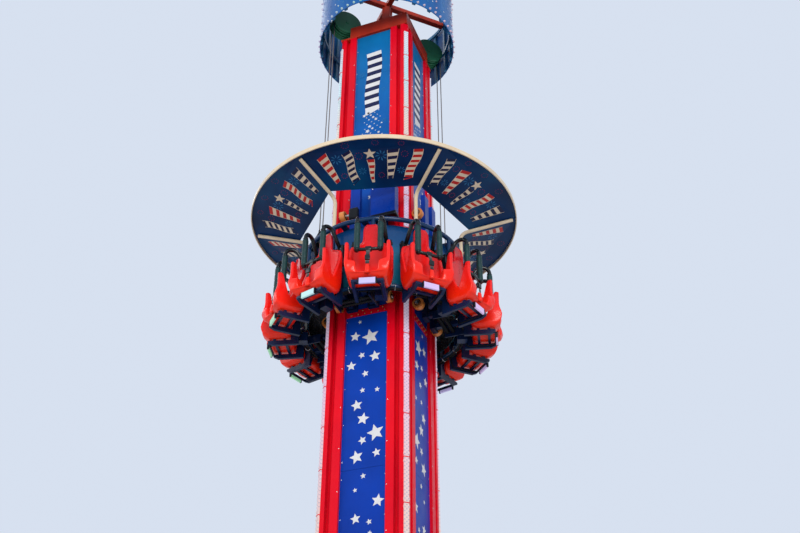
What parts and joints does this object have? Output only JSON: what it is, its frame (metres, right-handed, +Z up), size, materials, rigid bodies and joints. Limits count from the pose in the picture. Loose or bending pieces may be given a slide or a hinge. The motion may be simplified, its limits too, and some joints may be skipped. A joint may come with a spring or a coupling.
{
  "type": "drop tower ride",
  "caption": "Drop tower ride: square star-panelled column with corner lights, rope-hoisted ring of seats with over-shoulder restraints, folded canopy and open round crown",
  "frame": {"origin": "centre of the base plate's underside, at ground level", "axes": "+Z up; the column's front face looks along -Y and its right face along +X; azimuths count from -Y towards +X"},
  "size_m": [3.496, 3.4956, 14.06],
  "materials": {
    "red_paint": "satin red paint",
    "blue_paint": "satin royal blue paint",
    "navy_paint": "satin navy paint",
    "black_paint": "satin black paint",
    "grey_paint": "satin grey paint",
    "green_paint": "satin green paint",
    "cream_paint": "satin cream paint",
    "rope_steel": "stranded steel wire",
    "tyre_orange": "moulded polyurethane tyre",
    "shell_red": "gloss red moulded shell",
    "light_tube": "clear light cover over light strips",
    "pad_green": "moulded foam pad with a skin"
  },
  "bodies": {
    "tower": {"base_plate": "grey_paint", "base_gussets": "red_paint", "corner_posts": "red_paint", "face_panels": "blue_paint", "cross_bands": "red_paint", "corner_lights": "light_tube", "head_deck": "red_paint", "head_beams": "red_paint", "sheave_cheeks": "green_paint", "sheaves": "green_paint", "rope_wraps": "rope_steel", "hoist_ropes": "rope_steel", "crown_skin": "blue_paint", "crown_frame": "blue_paint", "crown_spokes": "red_paint"},
    "gondola": {"ring_frame": "navy_paint", "guide_masts": "blue_paint", "ring_struts": "navy_paint", "guide_wheels": "tyre_orange", "wheel_axles": "black_paint", "mast_cover": "blue_paint", "fairing": "blue_paint", "seat_arms": "black_paint", "seats": "shell_red", "seat_lights": "light_tube", "hinge_blocks": "black_paint", "rope_anchors": "black_paint", "buffer_springs": "black_paint", "spring_plates": "navy_paint", "floodlights": "navy_paint", "canopy_panels": "navy_paint", "canopy_rim": "cream_paint", "canopy_arms": "cream_paint"},
    "restraint_01": {"restraint_01": "pad_green"},
    "restraint_02": {"restraint_02": "pad_green"},
    "restraint_03": {"restraint_03": "pad_green"},
    "restraint_04": {"restraint_04": "pad_green"},
    "restraint_05": {"restraint_05": "pad_green"},
    "restraint_06": {"restraint_06": "pad_green"},
    "restraint_07": {"restraint_07": "pad_green"},
    "restraint_08": {"restraint_08": "pad_green"},
    "restraint_09": {"restraint_09": "pad_green"},
    "restraint_10": {"restraint_10": "pad_green"},
    "restraint_11": {"restraint_11": "pad_green"},
    "restraint_12": {"restraint_12": "pad_green"}
  },
  "joints": [
    {"name": "lift", "type": "slide", "parent": "tower", "child": "gondola", "axis": [0, 0, 1], "range_m": [-7.2, 3], "deforming": ["hoist_ropes"]},
    {"name": "restraint_01_hinge", "type": "hinge", "parent": "gondola", "child": "restraint_01", "pos_m": [0.27694, -1.03354, 8.58], "axis": [-0.9659, -0.2588, 0], "range_deg": [0, 60]},
    {"name": "restraint_02_hinge", "type": "hinge", "parent": "gondola", "child": "restraint_02", "pos_m": [0.7566, -0.7566, 8.58], "axis": [-0.7071, -0.7071, 0], "range_deg": [0, 60]},
    {"name": "restraint_03_hinge", "type": "hinge", "parent": "gondola", "child": "restraint_03", "pos_m": [1.03354, -0.27694, 8.58], "axis": [-0.2588, -0.9659, 0], "range_deg": [0, 60]},
    {"name": "restraint_04_hinge", "type": "hinge", "parent": "gondola", "child": "restraint_04", "pos_m": [1.03354, 0.27694, 8.58], "axis": [0.2588, -0.9659, 0], "range_deg": [0, 60]},
    {"name": "restraint_05_hinge", "type": "hinge", "parent": "gondola", "child": "restraint_05", "pos_m": [0.7566, 0.7566, 8.58], "axis": [0.7071, -0.7071, 0], "range_deg": [0, 60]},
    {"name": "restraint_06_hinge", "type": "hinge", "parent": "gondola", "child": "restraint_06", "pos_m": [0.27694, 1.03354, 8.58], "axis": [0.9659, -0.2588, 0], "range_deg": [0, 60]},
    {"name": "restraint_07_hinge", "type": "hinge", "parent": "gondola", "child": "restraint_07", "pos_m": [-0.27694, 1.03354, 8.58], "axis": [0.9659, 0.2588, 0], "range_deg": [0, 60]},
    {"name": "restraint_08_hinge", "type": "hinge", "parent": "gondola", "child": "restraint_08", "pos_m": [-0.7566, 0.7566, 8.58], "axis": [0.7071, 0.7071, 0], "range_deg": [0, 60]},
    {"name": "restraint_09_hinge", "type": "hinge", "parent": "gondola", "child": "restraint_09", "pos_m": [-1.03354, 0.27694, 8.58], "axis": [0.2588, 0.9659, 0], "range_deg": [0, 60]},
    {"name": "restraint_10_hinge", "type": "hinge", "parent": "gondola", "child": "restraint_10", "pos_m": [-1.03354, -0.27694, 8.58], "axis": [-0.2588, 0.9659, 0], "range_deg": [0, 60]},
    {"name": "restraint_11_hinge", "type": "hinge", "parent": "gondola", "child": "restraint_11", "pos_m": [-0.7566, -0.7566, 8.58], "axis": [-0.7071, 0.7071, 0], "range_deg": [0, 60]},
    {"name": "restraint_12_hinge", "type": "hinge", "parent": "gondola", "child": "restraint_12", "pos_m": [-0.27694, -1.03354, 8.58], "axis": [-0.9659, 0.2588, 0], "range_deg": [0, 60]}
  ]
}
